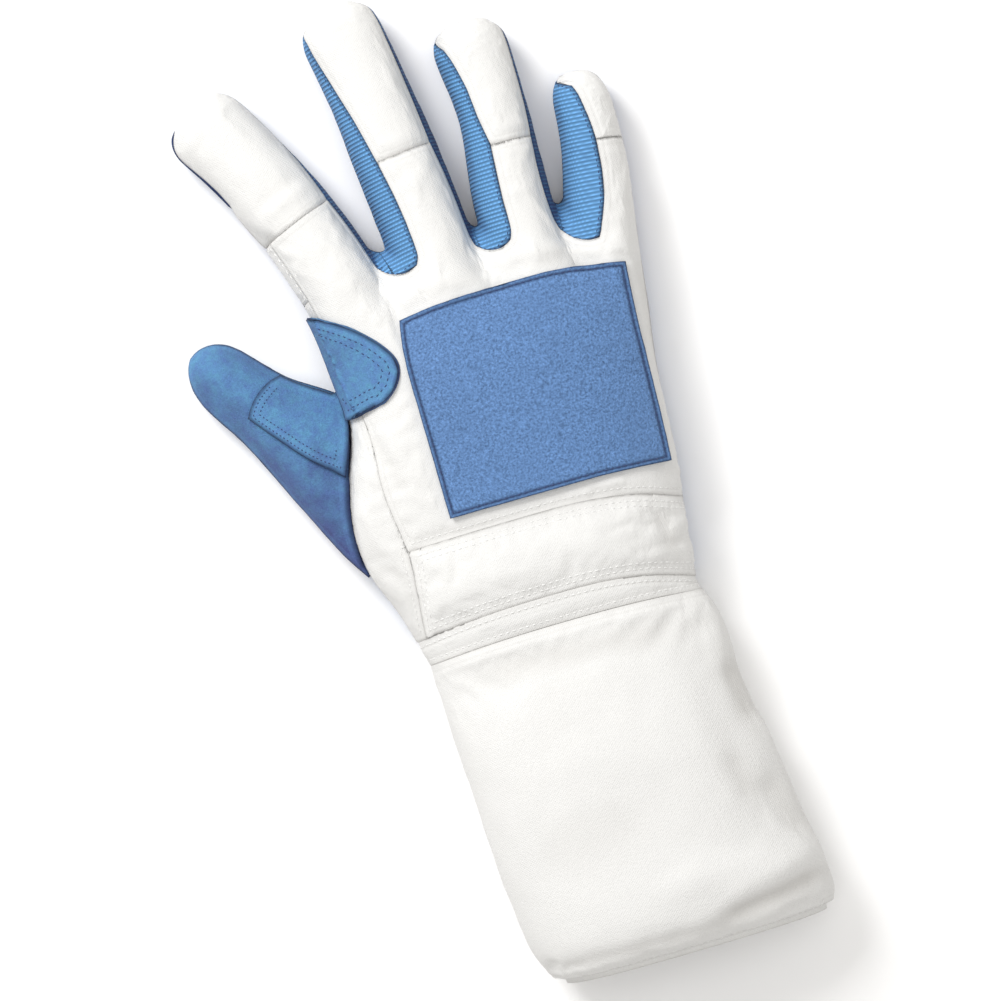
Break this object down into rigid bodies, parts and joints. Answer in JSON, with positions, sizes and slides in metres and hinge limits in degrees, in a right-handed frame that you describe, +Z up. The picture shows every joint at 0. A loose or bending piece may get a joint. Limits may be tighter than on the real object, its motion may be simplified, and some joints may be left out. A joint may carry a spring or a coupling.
{
  "type": "fencing glove",
  "caption": "White right-hand fencing glove with blue suede thumb and palm, mesh gussets, a felt back patch and a long gauntlet cuff.",
  "frame": {"origin": "on the surface the glove lies on, under the middle of the hand", "axes": "+Z up from the surface through the back of the hand, +Y from the cuff to the fingertips, thumb on the -X side"},
  "size_m": [0.1624, 0.3358, 0.0441],
  "materials": {
    "white_cloth": "matte",
    "blue_suede": "matte",
    "blue_mesh": "matte",
    "blue_felt": "matte"
  },
  "bodies": {
    "root": {"back_panel": "white_cloth", "index_side_strip": "white_cloth", "thumb_side_panel": "white_cloth", "index_tip_panel": "white_cloth", "middle_tip_panel": "white_cloth", "ring_tip_panel": "white_cloth", "little_tip_panel": "white_cloth", "index_middle_gusset": "blue_mesh", "middle_ring_gusset": "blue_mesh", "ring_little_gusset": "blue_mesh", "palm_panel": "blue_suede", "thumb_back": "blue_suede", "thumb_front": "blue_suede", "thumb_reinforcement": "blue_suede", "crotch_patch": "blue_suede", "back_patch": "blue_felt", "wrist_band": "white_cloth", "wrist_binding": "white_cloth", "cuff": "white_cloth", "cuff_hem": "white_cloth"}
  },
  "joints": []
}
